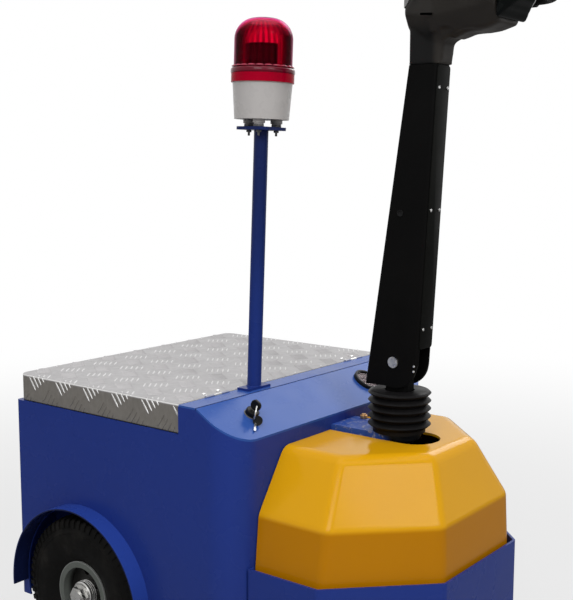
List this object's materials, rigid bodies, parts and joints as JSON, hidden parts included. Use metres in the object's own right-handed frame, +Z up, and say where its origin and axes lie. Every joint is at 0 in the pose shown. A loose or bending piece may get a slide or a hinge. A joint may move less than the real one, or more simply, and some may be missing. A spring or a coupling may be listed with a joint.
{
  "type": "pedestrian-controlled electric tow tractor (airport baggage tug)",
  "caption": "Small walk-along electric baggage tug with a tread-plate lid, moulded motor cover, steering tiller, warning beacon and rear tow jaw.",
  "frame": {"origin": "on the ground, under the middle of the overall length and width", "axes": "+Z up, +X to the vehicle's left, the tiller and drive wheel at -Y, the tow jaw at +Y"},
  "size_m": [0.639, 0.9004, 1.168],
  "materials": {
    "blue_paint": "gloss enamel",
    "black_paint": "satin black enamel",
    "tread_plate": "five-bar tread plate",
    "zinc_steel": "zinc plated",
    "cast_metal": "grey cast iron",
    "yellow_cover": "gloss moulded hood",
    "tyre_rubber": "black rubber",
    "drive_rubber": "solid rubber",
    "rim_grey": "grey enamel",
    "bellows_rubber": "moulded rubber",
    "battery_case": "moulded case",
    "black_plastic": "fine textured",
    "grey_plastic": "fine textured",
    "grip_rubber": "soft grip",
    "button_black": "gloss black",
    "clear_window": "clear",
    "lamp_housing": "warm white plastic",
    "lamp_red": "opaque red plastic",
    "lamp_lens": "transparent red",
    "lamp_mirror": "plated reflector",
    "lamp_bulb": "lamp bulb"
  },
  "bodies": {
    "chassis": {"side_panel_right": "blue_paint", "side_panel_left": "blue_paint", "front_bulkhead": "blue_paint", "rear_panel": "blue_paint", "console_panel": "blue_paint", "wheel_well_left": "blue_paint", "wheel_well_right": "blue_paint", "battery_tray": "blue_paint", "batteries": "battery_case", "axle_brackets": "black_paint", "rear_axle": "zinc_steel", "axle_nuts": "zinc_steel", "mudguard_left": "blue_paint", "mudguard_right": "blue_paint", "console_hinge_leaves": "zinc_steel", "front_skirt": "blue_paint", "drive_deck": "blue_paint", "steering_ring": "cast_metal", "motor_cover": "yellow_cover", "column_bracket": "blue_paint", "beacon_pole": "blue_paint", "beacon_plate": "blue_paint", "beacon_base": "lamp_housing", "beacon_ring": "lamp_red", "beacon_lens": "lamp_lens", "beacon_reflector": "lamp_mirror", "beacon_bulb": "lamp_bulb", "key_switch": "black_plastic", "key": "zinc_steel", "gauge": "black_plastic", "gauge_glass": "clear_window", "tow_jaw": "black_paint", "tow_pin": "zinc_steel"},
    "lid": {"lid": "tread_plate", "lid_hinge_leaves": "zinc_steel"},
    "drive_unit": {"drive_gearbox": "cast_metal", "drive_motor": "black_paint", "steering_column": "zinc_steel", "bellows": "bellows_rubber"},
    "drive_wheel": {"drive_tread": "drive_rubber", "drive_wheel_hub": "cast_metal"},
    "tiller": {"tiller_arm": "black_paint", "pivot_pin": "zinc_steel", "tiller_head": "black_plastic", "head_cover": "grey_plastic", "tiller_handle": "black_paint", "handle_grips": "grip_rubber", "stop_button": "button_black", "thumb_paddles": "black_plastic"},
    "wheel_left": {"tyre_left": "tyre_rubber", "rim_left": "rim_grey"},
    "wheel_right": {"tyre_right": "tyre_rubber", "rim_right": "rim_grey"}
  },
  "joints": [
    {"name": "lid_hinge", "type": "hinge", "parent": "chassis", "child": "lid", "pos_m": [0, -0.01775, 0.5035], "axis": [1, 0, 0], "range_deg": [0, 85]},
    {"name": "steering", "type": "hinge", "parent": "chassis", "child": "drive_unit", "pos_m": [0, -0.24325, 0.3], "axis": [0, 0, 1], "range_deg": [-90, 90]},
    {"name": "drive_wheel_roll", "type": "hinge", "parent": "drive_unit", "child": "drive_wheel", "pos_m": [0, -0.24325, 0.1], "axis": [1, 0, 0], "continuous": true},
    {"name": "tiller_tilt", "type": "hinge", "parent": "drive_unit", "child": "tiller", "pos_m": [0, -0.24325, 0.558], "axis": [1, 0, 0], "range_deg": [0, 75], "stiffness_Nm_per_rad": 18, "springref_deg": -51.57},
    {"name": "wheel_left_roll", "type": "hinge", "parent": "chassis", "child": "wheel_left", "pos_m": [0.262, 0.20825, 0.137], "axis": [1, 0, 0], "continuous": true},
    {"name": "wheel_right_roll", "type": "hinge", "parent": "chassis", "child": "wheel_right", "pos_m": [-0.262, 0.20825, 0.137], "axis": [1, 0, 0], "continuous": true}
  ]
}
